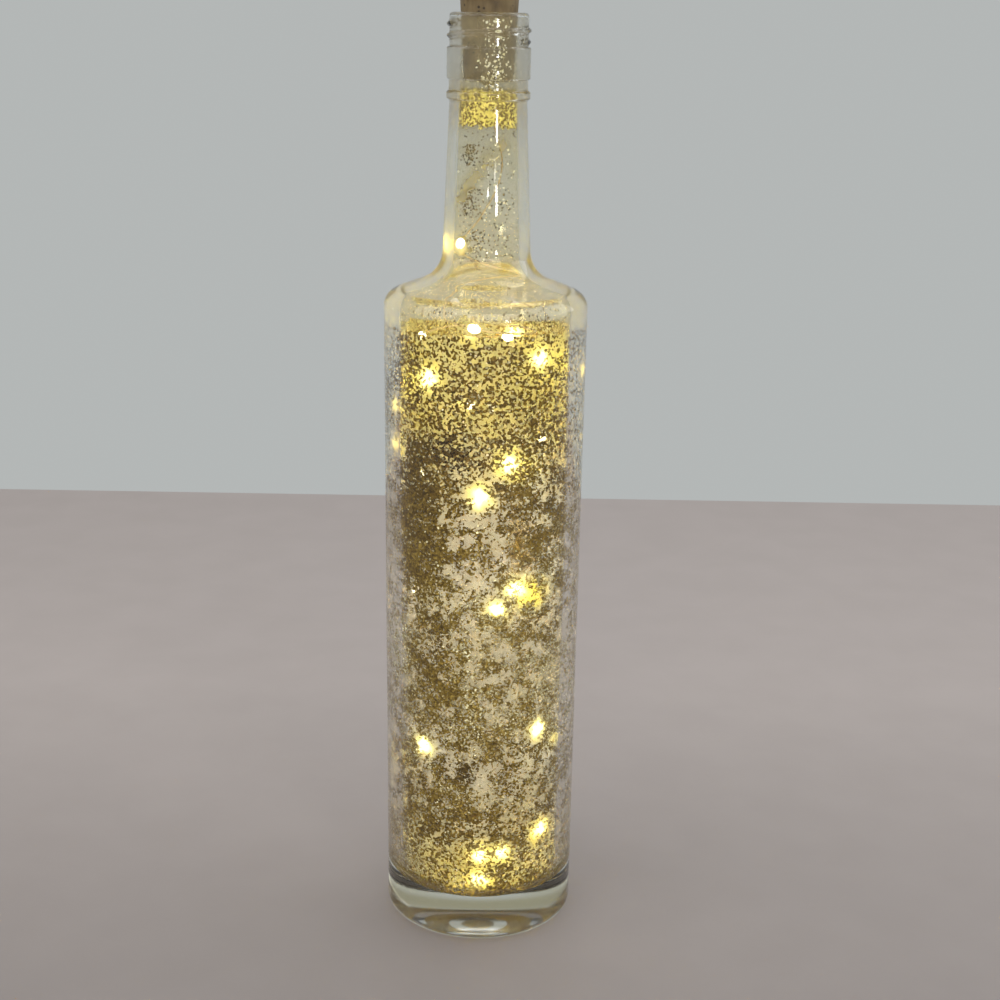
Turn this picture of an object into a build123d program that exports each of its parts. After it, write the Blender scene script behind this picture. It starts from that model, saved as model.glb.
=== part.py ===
from build123d import *
from math import cos, dist, pi, sin, sqrt, tan
import os

os.makedirs("parts", exist_ok=True)

# A glass spirits bottle with a string of small lights inside, fed by a lamp cork in its mouth.
# Sizes are in millimetres. The origin is the centre of the bottle's base, with Z up.

# Bottle, outside
bottle_height = 327.0
body_radius = 35.25
heel_radius = 4.5
rest_ring_width = 4.0
punt_rise = 3.2
shoulder_rise = 7.5
shoulder_edge_radius = 6.0
neck_length = 83.9
neck_root_radius = 15.35
neck_root_sweep = 11.0
neck_top_radius = 13.0

# Finish: the ringed and screw-cut top of the neck, measured down from the rim and out from the neck
lip_height = 10.6
lip_stand = 0.1
collar_height = 10.2
collar_stand = 0.95
groove_height = 3.6
groove_stand = 0.25
bead_height = 2.9
bead_stand = 1.05
ring_round_share = 0.8
lip_round_share = 0.33
mouth_round_share = 0.39

# Bottle, inside
mouth_radius = 9.5
mouth_depth = 22.0
body_wall = 5.8
shoulder_wall = 4.6
neck_root_wall = 3.7
floor_thickness = 15.5
inner_heel_radius = 7.0
inner_shoulder_radius = 4.5
inner_root_sweep = 13.0

# Gold glitter that coats the inside
coat_thickness = 0.25
coat_gap = 0.05
coat_drop = 6.6
neck_band_drop = 2.1
neck_band_height = 12.9

# Lamp cork
plug_depth = 21.3
plug_clearance = 0.12
plug_narrowing = 1.2
head_height = 20.0
head_widening = 1.1
plug_end_round = 0.8
lid_thickness = 3.5
lid_edge_round = 1.0
lid_gap = 0.05
cork_floor = 2.0

# Button cells and what holds them
cell_radius = 5.8
cell_height = 5.4
cell_count = 3
cell_can_height = 4.6
cell_cap_radius = 4.4
cell_edge_bevel = 0.35
cell_clearance = 0.1
sleeve_wall = 0.35
sleeve_clearance = 0.1
sleeve_lift = 1.2
contact_gap = 0.05
plate_thickness = 0.3
plate_radius = 4.7
strip_width = 2.2
strip_thickness = 0.25
strip_groove_depth = 0.45
spring_height = 3.6
spring_radius = 3.3
spring_wire = 0.5
spring_turns = 3

# Switch and board, which hang from the lid
board_radius = 7.0
board_thickness = 1.0
board_clearance = 0.2
board_rise = 2.6
leaf_thickness = 0.3
leaf_pad_radius = 1.6
leaf_foot_radius = 3.4
skirt_wall = 1.0
skirt_clearance = 0.12
switch_side = 5.8
switch_height = 5.6
switch_corner = 0.5
switch_boss_radius = 2.2
switch_boss_height = 0.8
plunger_bore_depth = 3.6
plunger_radius = 1.5
plunger_clearance = 0.08
resistor_length = 1.6
resistor_width = 0.8
resistor_height = 0.55
resistor_offset = 4.6
button_radius = 2.9
button_clearance = 0.12
button_travel = 1.2
button_stop_gap = 0.15
button_stand = 1.4
button_flange_radius = 3.8
button_flange_thickness = 1.0
button_edge_round = 0.6

# Two screws that hold the lid
screw_circle = 8.55
screw_radius = 0.7
screw_head_radius = 1.3
screw_head_height = 0.8
screw_sink = 0.1
screw_length = 8.0
screw_clearance = 0.1
screw_pilot_gap = 0.03
screw_slot_width = 0.35
screw_slot_depth = 0.3

# Gland that the light wire comes out of
gland_radius = 2.0
gland_clearance = 0.05
gland_flange_radius = 3.2
gland_nose_radius = 1.2
gland_drop = 1.5

# Light wire and its lamps
wire_radius = 0.4
wire_sides = 6
lamp_radius = 1.5
lamp_length = 4.4
lamp_wire_clearance = 0.25
last_lamp_tail = 1.2

overrun = 1.0

# Heights that follow from the sizes above
neck_root_height = bottle_height - neck_length
shoulder_edge_height = neck_root_height - shoulder_rise
collar_top = bottle_height - lip_height
collar_bottom = collar_top - collar_height
groove_bottom = collar_bottom - groove_height
bead_bottom = groove_bottom - bead_height
mouth_bottom = bottle_height - mouth_depth
lip_radius = neck_top_radius + lip_stand
collar_radius = neck_top_radius + collar_stand
groove_radius = neck_top_radius + groove_stand
bead_radius = neck_top_radius + bead_stand
inner_radius = body_radius - body_wall
inner_root_radius = neck_root_radius - neck_root_wall
shoulder_slope = shoulder_rise / (body_radius - neck_root_radius)
inner_edge_height = shoulder_edge_height + body_wall * shoulder_slope - shoulder_wall
inner_root_height = neck_root_height + neck_root_wall * shoulder_slope - shoulder_wall
neck_inner_slope = (inner_root_radius - mouth_radius) / (mouth_bottom - inner_root_height)
cork_bottom = bottle_height - plug_depth
cork_rim_radius = mouth_radius - plug_clearance
cork_bottom_radius = cork_rim_radius - plug_narrowing
cork_top = bottle_height + head_height
cork_top_radius = cork_rim_radius + head_widening
lid_bottom = cork_top - lid_thickness
shell_top = lid_bottom - lid_gap
shell_top_radius = cork_rim_radius + head_widening * (shell_top - bottle_height) / head_height
lid_bottom_radius = cork_rim_radius + head_widening * (lid_bottom - bottle_height) / head_height
sleeve_inner = cell_radius + cell_clearance
sleeve_outer = sleeve_inner + sleeve_wall
cell_bore = sleeve_outer + sleeve_clearance
cork_inside = cork_bottom + cork_floor
plate_top = cork_inside + plate_thickness
stack_bottom = plate_top + spring_height
stack_top = stack_bottom + cell_count * cell_height
board_bottom = stack_top + board_rise
board_top = board_bottom + board_thickness
board_ledge = board_bottom - board_clearance
board_bore = board_radius + board_clearance
skirt_outer = board_bore - skirt_clearance
skirt_inner = skirt_outer - skirt_wall
switch_top = board_top + switch_height
boss_top = switch_top + switch_boss_height
plunger_bore_bottom = boss_top - plunger_bore_depth
plunger_bottom = plunger_bore_bottom + button_travel + button_stop_gap
flange_top = lid_bottom - button_clearance
flange_bottom = flange_top - button_flange_thickness
button_top = cork_top + button_stand


# Bottle: thick clear glass, blown in a mould and turned here in one section through its wall
rest_ring_inner = body_radius - heel_radius - rest_ring_width
bead_round = ring_round_share * (bead_radius - groove_radius)
collar_round = ring_round_share * (collar_radius - groove_radius)
lip_round = lip_round_share * (lip_radius - mouth_radius)
mouth_round = mouth_round_share * (lip_radius - mouth_radius)
with BuildPart() as glass_bottle:
    with BuildSketch(Plane.XZ):
        with BuildLine():
            FilletPolyline(
                (rest_ring_inner, 0),
                (body_radius, 0),
                (body_radius, shoulder_edge_height),
                (neck_root_radius, neck_root_height),
                (neck_top_radius, bead_bottom),
                (bead_radius, bead_bottom),
                (bead_radius, groove_bottom),
                (groove_radius, groove_bottom),
                (groove_radius, collar_bottom),
                (collar_radius, collar_bottom),
                (collar_radius, collar_top),
                (lip_radius, collar_top),
                (lip_radius, bottle_height),
                (mouth_radius, bottle_height),
                (mouth_radius, mouth_bottom),
                (inner_root_radius, inner_root_height),
                (inner_radius, inner_edge_height),
                (inner_radius, floor_thickness),
                (0, floor_thickness),
                radius=[
                    heel_radius,
                    shoulder_edge_radius,
                    neck_root_sweep,
                    0,
                    bead_round,
                    bead_round,
                    0,
                    0,
                    collar_round,
                    collar_round,
                    0,
                    lip_round,
                    mouth_round,
                    0,
                    inner_root_sweep,
                    inner_shoulder_radius,
                    inner_heel_radius,
                ],
            )
            Line((0, floor_thickness), (0, punt_rise))
            TangentArc((0, punt_rise), (rest_ring_inner, 0), tangent=(1, 0))
        make_face()
    revolve(axis=Axis.Z)
glass_bottle.part.label = "glass_bottle"
export_step(glass_bottle.part, "parts/glass_bottle.step")

# Glitter coat: gold flakes set in clear varnish on the inside wall and across the floor
coat_outer = inner_radius - coat_gap
coat_inner = coat_outer - coat_thickness
coat_bottom = floor_thickness + coat_gap
coat_floor = coat_bottom + coat_thickness
coat_top = inner_edge_height - coat_drop
with BuildPart() as glitter_coat:
    with BuildSketch(Plane.XZ):
        with BuildLine():
            FilletPolyline(
                (0, coat_bottom),
                (coat_outer, coat_bottom),
                (coat_outer, coat_top),
                (coat_inner, coat_top),
                (coat_inner, coat_floor),
                (0, coat_floor),
                radius=[inner_heel_radius - coat_gap, 0, 0, inner_heel_radius - coat_gap - coat_thickness],
            )
            Line((0, coat_floor), (0, coat_bottom))
        make_face()
    revolve(axis=Axis.Z)
glitter_coat.part.label = "glitter_coat"
export_step(glitter_coat.part, "parts/glitter_coat.step")


def neck_inner_radius(height):
    """Radius of the bottle's inside at a height in the neck, below the straight mouth."""
    return mouth_radius + (mouth_bottom - height) * neck_inner_slope


# Neck band: a dense ring of the same glitter just below the cork
neck_band_high = cork_bottom - neck_band_drop
neck_band_low = neck_band_high - neck_band_height
band_low_radius = neck_inner_radius(neck_band_low) - coat_gap
band_high_radius = neck_inner_radius(neck_band_high) - coat_gap
with BuildPart() as neck_glitter_band:
    with BuildSketch(Plane.XZ):
        with BuildLine():
            Polyline(
                (band_low_radius, neck_band_low),
                (band_high_radius, neck_band_high),
                (band_high_radius - coat_thickness, neck_band_high),
                (band_low_radius - coat_thickness, neck_band_low),
                close=True,
            )
        make_face()
    revolve(axis=Axis.Z)
neck_glitter_band.part.label = "neck_glitter_band"
export_step(neck_glitter_band.part, "parts/neck_glitter_band.step")

# Cork shell: a moulded plastic cork, tapered, bored for the cells and wider above for the board
screw_tip = cork_top - screw_sink - screw_length
with BuildPart() as cork_shell:
    with BuildSketch(Plane.XZ):
        with BuildLine():
            FilletPolyline(
                (gland_radius + gland_clearance, cork_bottom),
                (cork_bottom_radius, cork_bottom),
                (cork_rim_radius, bottle_height),
                (shell_top_radius, shell_top),
                (board_bore, shell_top),
                (board_bore, board_ledge),
                (cell_bore, board_ledge),
                (cell_bore, cork_inside),
                (gland_radius + gland_clearance, cork_inside),
                radius=[plug_end_round, 0, 0, 0, 0, 0, 0],
            )
            Line(
                (gland_radius + gland_clearance, cork_inside),
                (gland_radius + gland_clearance, cork_bottom),
            )
        make_face()
    revolve(axis=Axis.Z)
    with BuildSketch(Plane.XY.offset(cork_inside)):
        with Locations(((cell_bore + strip_groove_depth) / 2, 0)):
            Rectangle(cell_bore + strip_groove_depth, strip_width + 2 * sleeve_clearance)
    extrude(amount=board_bottom - cork_inside, mode=Mode.SUBTRACT)
    with BuildSketch(Plane.XY.offset(shell_top)):
        with PolarLocations(screw_circle, 2, start_angle=90):
            Circle(screw_radius + screw_pilot_gap)
    extrude(amount=screw_tip - overrun - shell_top, mode=Mode.SUBTRACT)
cork_shell.part.label = "cork_shell"
export_step(cork_shell.part, "parts/cork_shell.step")

# Lid: the top slice of the cork, with a skirt that reaches down to the circuit board
with BuildPart() as cork_lid:
    with BuildSketch(Plane.XZ):
        with BuildLine():
            FilletPolyline(
                (button_radius + button_clearance, lid_bottom),
                (skirt_inner, lid_bottom),
                (skirt_inner, board_top),
                (skirt_outer, board_top),
                (skirt_outer, lid_bottom),
                (lid_bottom_radius, lid_bottom),
                (cork_top_radius, cork_top),
                (button_radius + button_clearance, cork_top),
                radius=[0, 0, 0, 0, 0, lid_edge_round],
            )
            Line(
                (button_radius + button_clearance, cork_top),
                (button_radius + button_clearance, lid_bottom),
            )
        make_face()
    revolve(axis=Axis.Z)
    with BuildSketch(Plane.XY.offset(cork_top + overrun)):
        with PolarLocations(screw_circle, 2, start_angle=90):
            Circle(screw_radius + screw_clearance)
    extrude(amount=-lid_thickness - 2 * overrun, mode=Mode.SUBTRACT)
    with BuildSketch(Plane.XY.offset(cork_top)):
        with PolarLocations(screw_circle, 2, start_angle=90):
            Circle(screw_head_radius + screw_clearance)
    extrude(amount=-screw_sink - screw_head_height - screw_clearance, mode=Mode.SUBTRACT)
cork_lid.part.label = "cork_lid"
export_step(cork_lid.part, "parts/cork_lid.step")

# Lid screws: two small slotted screws, heads sunk just below the lid's top
head_top = cork_top - screw_sink
with BuildPart() as lid_screws:
    with BuildSketch(Plane.XY.offset(head_top)):
        with PolarLocations(screw_circle, 2, start_angle=90):
            Circle(screw_head_radius)
    extrude(amount=-screw_head_height)
    with BuildSketch(Plane.XY.offset(head_top)):
        with PolarLocations(screw_circle, 2, start_angle=90):
            Circle(screw_radius)
    extrude(amount=-screw_length)
    with BuildSketch(Plane.XY.offset(head_top)):
        with PolarLocations(screw_circle, 2, start_angle=90):
            Rectangle(2 * screw_head_radius + overrun, screw_slot_width)
    extrude(amount=-screw_slot_depth, mode=Mode.SUBTRACT)
lid_screws.part.label = "lid_screws"
export_step(lid_screws.part, "parts/lid_screws.step")

# Push button: a domed cap with a retaining flange and a stem that reaches into the switch
with BuildPart() as switch_button:
    with BuildSketch(Plane.XZ):
        with BuildLine():
            FilletPolyline(
                (0, plunger_bottom),
                (plunger_radius, plunger_bottom),
                (plunger_radius, flange_bottom),
                (button_flange_radius, flange_bottom),
                (button_flange_radius, flange_top),
                (button_radius, flange_top),
                (button_radius, button_top),
                (0, button_top),
                radius=[0, 0, 0, 0, 0, button_edge_round],
            )
            Line((0, button_top), (0, plunger_bottom))
        make_face()
    revolve(axis=Axis.Z)
switch_button.part.label = "switch_button"
export_step(switch_button.part, "parts/switch_button.step")

# Switch body: a square latching switch with a round boss that guides the stem
with BuildPart() as switch_body:
    with BuildSketch(Plane.XY.offset(board_top)):
        RectangleRounded(switch_side, switch_side, switch_corner)
    extrude(amount=switch_height)
    with BuildSketch(Plane.XY.offset(switch_top)):
        Circle(switch_boss_radius)
    extrude(amount=switch_boss_height)
    with BuildSketch(Plane.XY.offset(plunger_bore_bottom)):
        Circle(plunger_radius + plunger_clearance)
    extrude(amount=plunger_bore_depth, mode=Mode.SUBTRACT)
switch_body.part.label = "switch_body"
export_step(switch_body.part, "parts/switch_body.step")

# Circuit board: a round board held against the end of the lid's skirt
with BuildPart() as circuit_board:
    with BuildSketch(Plane.XY.offset(board_bottom)):
        Circle(board_radius)
    extrude(amount=board_thickness)
circuit_board.part.label = "circuit_board"
export_step(circuit_board.part, "parts/circuit_board.step")

# Resistor: a small chip that limits the current, soldered beside the switch
with BuildPart() as current_resistor:
    with BuildSketch(Plane.XY.offset(board_top)):
        with Locations((0, resistor_offset)):
            Rectangle(resistor_length, resistor_width)
    extrude(amount=resistor_height)
current_resistor.part.label = "current_resistor"
export_step(current_resistor.part, "parts/current_resistor.step")

# Upper contact: a pressed dome under the board that meets the top cell
leaf_bottom = stack_top + contact_gap
with BuildPart() as upper_contact:
    with BuildSketch(Plane.XZ):
        with BuildLine():
            Polyline(
                (0, leaf_bottom),
                (leaf_pad_radius, leaf_bottom),
                (leaf_foot_radius, board_bottom),
                (leaf_foot_radius - 2 * leaf_thickness, board_bottom),
                (leaf_pad_radius - leaf_thickness, leaf_bottom + leaf_thickness),
                (0, leaf_bottom + leaf_thickness),
                close=True,
            )
        make_face()
    revolve(axis=Axis.Z)
upper_contact.part.label = "upper_contact"
export_step(upper_contact.part, "parts/upper_contact.step")

# Button cells: three in a stack, each a wide can under a narrower cap
for number in range(cell_count):
    cell_base = stack_bottom + number * cell_height
    with BuildPart() as button_cell:
        with BuildSketch(Plane.XZ):
            with BuildLine():
                Polyline(
                    (0, cell_base),
                    (cell_radius, cell_base),
                    (cell_radius, cell_base + cell_can_height),
                    (cell_cap_radius, cell_base + cell_can_height),
                    (cell_cap_radius, cell_base + cell_height),
                    (0, cell_base + cell_height),
                    close=True,
                )
            section = make_face()
            chamfer(section.vertices().sort_by(Axis.X)[-2:], length=cell_edge_bevel)
        revolve(axis=Axis.Z)
    button_cell.part.label = f"button_cell_{number + 1}"
    export_step(button_cell.part, f"parts/button_cell_{number + 1}.step")

# Lower contact: a brass disc on the shell's floor, with a tongue that reaches into the groove
strip_outer = cell_bore + strip_thickness + contact_gap
with BuildPart() as lower_contact:
    with BuildSketch(Plane.XY.offset(cork_inside)):
        Circle(plate_radius)
        with Locations((strip_outer / 2, 0)):
            Rectangle(strip_outer, strip_width)
    extrude(amount=plate_thickness)
lower_contact.part.label = "lower_contact"
export_step(lower_contact.part, "parts/lower_contact.step")

# Contact strip: a brass strip up the groove, from the tongue to the underside of the board
with BuildPart() as contact_strip:
    with BuildSketch(Plane.XY.offset(plate_top)):
        with Locations((strip_outer - strip_thickness / 2, 0)):
            Rectangle(strip_thickness, strip_width)
    extrude(amount=board_bottom - contact_gap - plate_top)
contact_strip.part.label = "contact_strip"
export_step(contact_strip.part, "parts/contact_strip.step")

# Cell sleeve: a thin tube that keeps the cells off the strip
with BuildPart() as cell_sleeve:
    with BuildSketch(Plane.XY.offset(plate_top + sleeve_lift)):
        Circle(sleeve_outer)
        Circle(sleeve_inner, mode=Mode.SUBTRACT)
    extrude(amount=board_ledge - plate_top - sleeve_lift)
cell_sleeve.part.label = "cell_sleeve"
export_step(cell_sleeve.part, "parts/cell_sleeve.step")

# Wire gland: a plug of clear resin that seals the hole in the cork's end round the wire
gland_bottom = cork_bottom - gland_drop
with BuildPart() as wire_gland:
    with BuildSketch(Plane.XZ):
        with BuildLine():
            Polyline(
                (0, gland_bottom),
                (gland_nose_radius, gland_bottom),
                (gland_flange_radius, cork_bottom),
                (gland_radius, cork_bottom),
                (gland_radius, cork_inside),
                (0, cork_inside),
                close=True,
            )
        make_face()
    revolve(axis=Axis.Z)
wire_gland.part.label = "wire_gland"
export_step(wire_gland.part, "parts/wire_gland.step")


def smooth_value(values, place):
    """Value at a place between stations, on a smooth curve through all of them."""
    index = min(int(place), len(values) - 2)
    share = place - index
    here, there = values[index], values[index + 1]
    before = values[index - 1] if index > 0 else here
    after = values[index + 2] if index + 2 < len(values) else there
    leaving = (there - before) / (2 if index > 0 else 1)
    reaching = (after - here) / (2 if index + 2 < len(values) else 1)
    rise = there - here
    return (
        here
        + leaving * share
        + (3 * rise - 2 * leaving - reaching) * share**2
        + (leaving + reaching - 2 * rise) * share**3
    )


def arc_pair(start, start_way, end, end_way):
    """Middle point and middle direction of two arcs that join a start to an end smoothly."""
    span = end - start
    spread = 2 * (1 - start_way.dot(end_way))
    reach = span.dot(start_way + end_way)
    size = (sqrt(reach**2 + spread * span.dot(span)) - reach) / spread
    first = start + start_way * size
    second = end - end_way * size
    return (first + second) / 2, (second - first).normalized()


def wound_path(points, ways):
    """One smooth line of arcs through the points, with the given direction at each."""
    edges = []
    for here in range(len(points) - 1):
        start, end = points[here], points[here + 1]
        middle, middle_way = arc_pair(start, ways[here], end, ways[here + 1])
        edges.append(Edge.make_tangent_arc(start, ways[here], middle))
        edges.append(Edge.make_tangent_arc(middle, middle_way, end))
    return Wire(edges)


def wound_tube(path, radius):
    """Tube with narrow flat sides along a path of arcs."""
    with BuildPart() as tube:
        with BuildSketch(Plane(origin=path @ 0, z_dir=path % 0)):
            RegularPolygon(radius, wire_sides)
        sweep(path=path)
    return tube


def least_gap(points, radius, apart):
    """Least free space between stretches of a tube that are more than a given length apart."""
    lengths = [0]
    for here in range(1, len(points)):
        lengths.append(lengths[-1] + dist(points[here], points[here - 1]))
    least = None
    for here in range(len(points)):
        for there in range(here + 1, len(points)):
            if lengths[there] - lengths[here] > apart:
                between = dist(points[here], points[there]) - 2 * radius
                least = between if least is None else min(least, between)
    return least


# Contact spring: a short coil on the lower contact that presses the cells together
spring_low = plate_top + spring_wire / 2
spring_climb = spring_height - spring_wire - 2 * contact_gap


def spring_point(turn):
    """Centre of the spring's wire after a number of turns."""
    angle = 2 * pi * turn
    height = spring_low + contact_gap + spring_climb * turn / spring_turns
    return Vector(spring_radius * cos(angle), spring_radius * sin(angle), height)


def spring_way(turn):
    """Direction of the spring's wire after a number of turns."""
    angle = 2 * pi * turn
    climb = spring_climb / spring_turns / (2 * pi * spring_radius)
    return Vector(-sin(angle), cos(angle), climb).normalized()


quarters = [number / 4 for number in range(4 * spring_turns + 1)]
spring_path = wound_path([spring_point(turn) for turn in quarters], [spring_way(turn) for turn in quarters])
contact_spring = wound_tube(spring_path, spring_wire / 2)
contact_spring.part.label = "contact_spring"
export_step(contact_spring.part, "parts/contact_spring.step")
spring_points = [tuple(spring_point(number / 24)) for number in range(24 * spring_turns + 1)]
print("spring gap", round(least_gap(spring_points, spring_wire / 2, pi * spring_radius), 2))

# Lead: the light wire's stretch in the neck, which rises with the cork
lead_route = [
    (0, 0, gland_bottom),
    (0.5, -0.3, 296.5),
    (3.0, -1.9, 288.6),
    (5.3, 0.6, 280.4),
    (4.4, 4.7, 272.6),
    (1.2, 6.4, 266.0),
]
lead_points = [Vector(*point) for point in lead_route]
lead_radii = []
for here in range(1, len(lead_points) - 1):
    run_in = lead_points[here] - lead_points[here - 1]
    run_out = lead_points[here + 1] - lead_points[here]
    half_turn = run_in.get_angle(run_out) * pi / 360
    lead_radii.append(0.45 * min(run_in.length, run_out.length) / tan(half_turn))
print("lead bends", [round(radius, 1) for radius in lead_radii])
with BuildPart() as lead_wire:
    with BuildLine() as lead_line:
        FilletPolyline(*lead_route, radius=lead_radii)
    lead_path = lead_line.wires()[0]
    lead_start = 0 if (lead_path @ 0 - lead_points[0]).length < wire_radius else 1
    with BuildSketch(Plane(origin=lead_path @ lead_start, z_dir=lead_path % lead_start)) as lead_section:
        RegularPolygon(wire_radius, wire_sides)
    sweep(path=lead_path)
lead_wire.part.label = "lead_wire"
export_step(lead_wire.part, "parts/lead_wire.step")
lead_share = lead_wire.part.volume / (lead_section.sketch.area * lead_path.length)
print("lead length", round(lead_path.length, 1), "volume share", round(lead_share, 4))

# Light wire: the loose winding in the bottle. Each station is a number of turns from the right,
# a distance from the axis and a height. The first station is the lead's end, and the others
# are the lamps, about 100 mm apart along the wire.
stations = [
    (0.220, 6.5, 266.0),
    (0.510, 9.0, 252.6),
    (1.713, 15.6, 226.4),
    (2.506, 22.1, 221.2),
    (3.190, 22.1, 217.4),
    (3.911, 22.5, 216.0),
    (4.590, 23.4, 208.8),
    (5.295, 22.1, 192.1),
    (6.044, 22.1, 183.8),
    (6.814, 22.1, 180.7),
    (7.519, 22.1, 171.8),
    (8.248, 23.8, 156.2),
    (8.841, 25.1, 135.4),
    (9.502, 24.7, 127.9),
    (10.210, 22.1, 112.8),
    (10.918, 22.9, 77.1),
    (11.553, 23.8, 67.8),
    (12.073, 26.4, 23.0),
    (12.775, 17.5, 28.1),
    (13.857, 14.0, 25.2),
    (14.740, 20.0, 18.2),
]
station_turns = [station[0] for station in stations]
station_radii = [station[1] for station in stations]
station_heights = [station[2] for station in stations]


def winding_point(place):
    """Point of the winding at a place counted in stations."""
    angle = 2 * pi * smooth_value(station_turns, place)
    radius = smooth_value(station_radii, place)
    return Vector(radius * cos(angle), radius * sin(angle), smooth_value(station_heights, place))


def winding_way(place):
    """Direction of the winding at a place counted in stations."""
    step = 0.001
    low = max(place - step, 0)
    high = min(place + step, len(stations) - 1)
    return (winding_point(high) - winding_point(low)).normalized()


places = [0]
for station in range(len(stations) - 1):
    parts = max(1, round(4 * (station_turns[station + 1] - station_turns[station])))
    places += [station + (number + 1) / parts for number in range(parts)]
winding_points = [winding_point(place) for place in places]
winding_ways = [winding_way(place) for place in places]
winding_points[0] = lead_points[-1]
winding_ways[0] = (lead_points[-1] - lead_points[-2]).normalized()
winding_points.append(winding_points[-1] + winding_ways[-1] * last_lamp_tail)
winding_line = wound_path(winding_points[:-1], winding_ways)
winding_path = Wire(winding_line.edges() + [Edge.make_line(winding_points[-2], winding_points[-1])])
light_wire = wound_tube(winding_path, wire_radius)
light_wire.part.label = "light_wire"
export_step(light_wire.part, "parts/light_wire.step")
wire_share = light_wire.part.volume / (lead_section.sketch.area * winding_path.length)
print("winding length", round(winding_path.length, 1), "volume share", round(wire_share, 4))
fine_points = [tuple(winding_point(number / 30)) for number in range(30 * (len(stations) - 1) + 1)]
print("winding gap", round(least_gap(fine_points, wire_radius, 3 * lamp_length), 2))
reach = [sqrt(x * x + y * y) for x, y, z in fine_points]
print("winding reach", round(max(reach), 2), "of", round(coat_inner - wire_radius, 2))

# Lamps: drops of clear resin, each round the wire and a light-emitting chip
bore_radius = wire_radius + lamp_wire_clearance
for number in range(1, len(stations)):
    seat = Plane(origin=winding_point(number), z_dir=winding_way(number))
    with BuildPart() as led_bead:
        with BuildSketch(Plane(origin=seat.origin, x_dir=seat.x_dir, z_dir=-seat.y_dir)):
            Ellipse(lamp_radius, lamp_length / 2)
            with Locations((bore_radius - lamp_radius, 0)):
                Rectangle(2 * lamp_radius, lamp_length, mode=Mode.SUBTRACT)
        revolve(axis=Axis(seat.origin, seat.z_dir))
    led_bead.part.label = f"led_bead_{number:02d}"
    export_step(led_bead.part, f"parts/led_bead_{number:02d}.step")
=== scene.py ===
import bpy
import math
import random
from mathutils import Matrix, Vector, noise


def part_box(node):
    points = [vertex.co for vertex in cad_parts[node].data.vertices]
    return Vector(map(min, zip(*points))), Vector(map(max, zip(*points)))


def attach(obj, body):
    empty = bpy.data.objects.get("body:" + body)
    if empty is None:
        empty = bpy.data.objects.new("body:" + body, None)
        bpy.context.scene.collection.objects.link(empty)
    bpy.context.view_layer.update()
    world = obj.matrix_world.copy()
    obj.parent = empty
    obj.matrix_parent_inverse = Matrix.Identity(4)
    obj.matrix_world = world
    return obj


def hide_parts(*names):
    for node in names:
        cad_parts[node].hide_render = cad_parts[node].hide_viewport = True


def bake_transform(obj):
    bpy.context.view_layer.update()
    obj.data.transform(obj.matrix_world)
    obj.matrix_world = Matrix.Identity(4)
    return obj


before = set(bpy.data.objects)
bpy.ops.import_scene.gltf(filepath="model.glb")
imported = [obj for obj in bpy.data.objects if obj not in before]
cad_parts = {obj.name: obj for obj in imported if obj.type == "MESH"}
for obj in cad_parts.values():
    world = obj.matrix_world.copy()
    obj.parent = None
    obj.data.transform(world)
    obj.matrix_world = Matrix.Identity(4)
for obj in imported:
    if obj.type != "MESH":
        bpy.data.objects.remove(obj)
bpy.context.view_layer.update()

# The bottle
# Thick clear glass, blown in a two-part mould: a heavy base with a hollow under it, a straight
# body, a short sloped shoulder and a slim neck that ends in rings, a collar and a screw thread.
bottle_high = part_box("glass_bottle")[1]
rim_height = bottle_high.z
body_radius = bottle_high.x
heel_round = 0.0045
rest_ring_inner = 0.02675
punt_rise = 0.0032
shoulder_edge = 0.2356
shoulder_round = 0.006
neck_root = 0.2431
neck_root_radius = 0.01535
neck_root_sweep = 0.011
neck_top_radius = 0.013
bead_low, bead_high, bead_radius = 0.2997, 0.3026, 0.01405
groove_high, groove_radius = 0.3062, 0.01325
collar_high, collar_radius = 0.3164, 0.01395
lip_radius = 0.0131
mouth_radius = 0.0095
mouth_bottom = 0.305
inner_root, inner_root_radius, inner_root_sweep = 0.23989, 0.01165, 0.013
inner_edge, inner_radius, inner_edge_round = 0.23319, 0.02945, 0.0045
floor_height, inner_heel_round = 0.0155, 0.007
bottle_sides = 192


def rounded_line(corners, most_step):
    """Points of a line through (radius, height, round) corners, with arcs of that round at them."""
    arc_step = math.radians(9)
    points = [Vector(corners[0][:2])]
    for before, corner, after in zip(corners, corners[1:], corners[2:]):
        here = Vector(corner[:2])
        back = (Vector(before[:2]) - here).normalized()
        ahead = (Vector(after[:2]) - here).normalized()
        if corner[2] == 0:
            points.append(here)
            continue
        half = back.angle(ahead) / 2
        reach = corner[2] / math.tan(half)
        centre = here + (back + ahead).normalized() * corner[2] / math.sin(half)
        start, end = here + back * reach - centre, here + ahead * reach - centre
        turn = start.angle_signed(end)
        steps = max(4, math.ceil(abs(turn) / arc_step))
        for step in range(steps + 1):
            points.append(centre + Matrix.Rotation(-turn * step / steps, 2) @ start)
    points.append(Vector(corners[-1][:2]))
    line = [points[0]]
    for point in points[1:]:
        pieces = max(1, math.ceil((point - line[-1]).length / most_step))
        start = line[-1].copy()
        line += [start.lerp(point, (number + 1) / pieces) for number in range(pieces)]
    return line


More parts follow.
